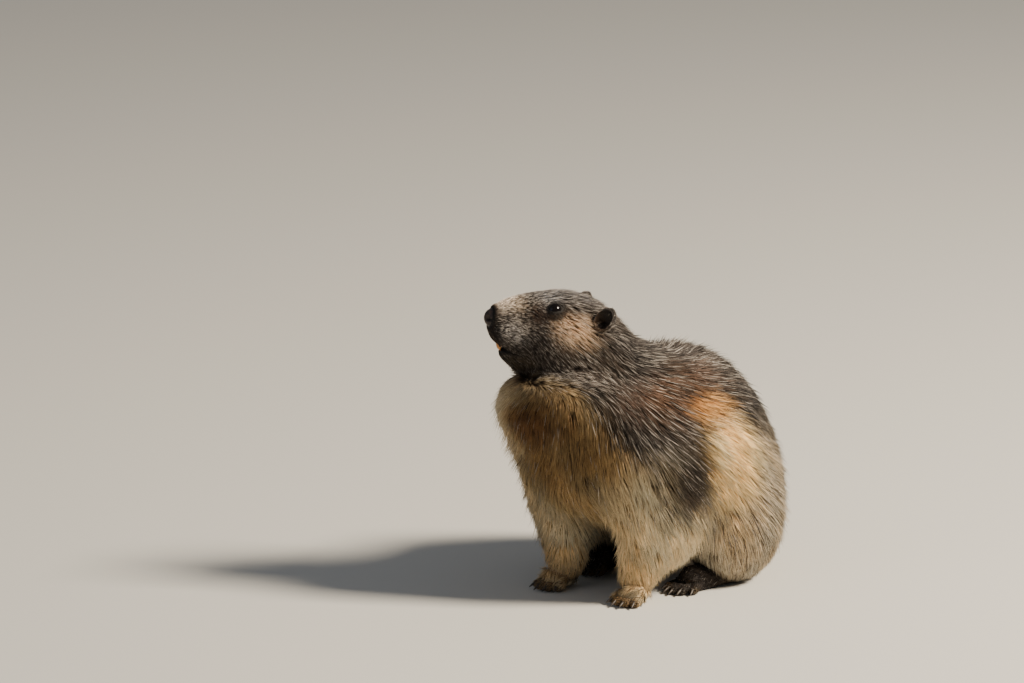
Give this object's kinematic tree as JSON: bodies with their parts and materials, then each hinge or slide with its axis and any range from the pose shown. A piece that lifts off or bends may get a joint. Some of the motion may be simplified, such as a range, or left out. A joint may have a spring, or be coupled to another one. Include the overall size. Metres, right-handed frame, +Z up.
{
  "type": "alpine marmot",
  "caption": "Life-size alpine marmot sitting drawn up on all four feet, head turned to its right, in a long grizzled brown and straw-coloured coat.",
  "frame": {"origin": "On the floor under the middle of the animal's bounding box, soles at Z 0.", "axes": "+Z up, the animal faces -Y, its left side is +X; the rump is at +Y."},
  "size_m": [0.227, 0.3066, 0.2496],
  "materials": {
    "grizzled_fur": "matte",
    "brown_fur": "matte",
    "straw_fur": "matte",
    "dark_fur": "matte",
    "nose_skin": "satin",
    "wet_eye": "gloss",
    "tooth_enamel": "satin"
  },
  "bodies": {
    "root": {"head": "grizzled_fur", "neck": "grizzled_fur", "torso": "brown_fur", "tail": "dark_fur", "nose": "nose_skin", "upper_incisors": "tooth_enamel", "lower_incisors": "tooth_enamel", "ear_left": "grizzled_fur", "ear_right": "grizzled_fur", "eye_left": "wet_eye", "eye_right": "wet_eye", "front_left_leg": "straw_fur", "front_right_leg": "straw_fur", "hind_left_leg": "straw_fur", "hind_right_leg": "straw_fur", "front_left_paw": "straw_fur", "front_right_paw": "straw_fur", "hind_left_foot": "dark_fur", "hind_right_foot": "dark_fur"}
  },
  "joints": []
}
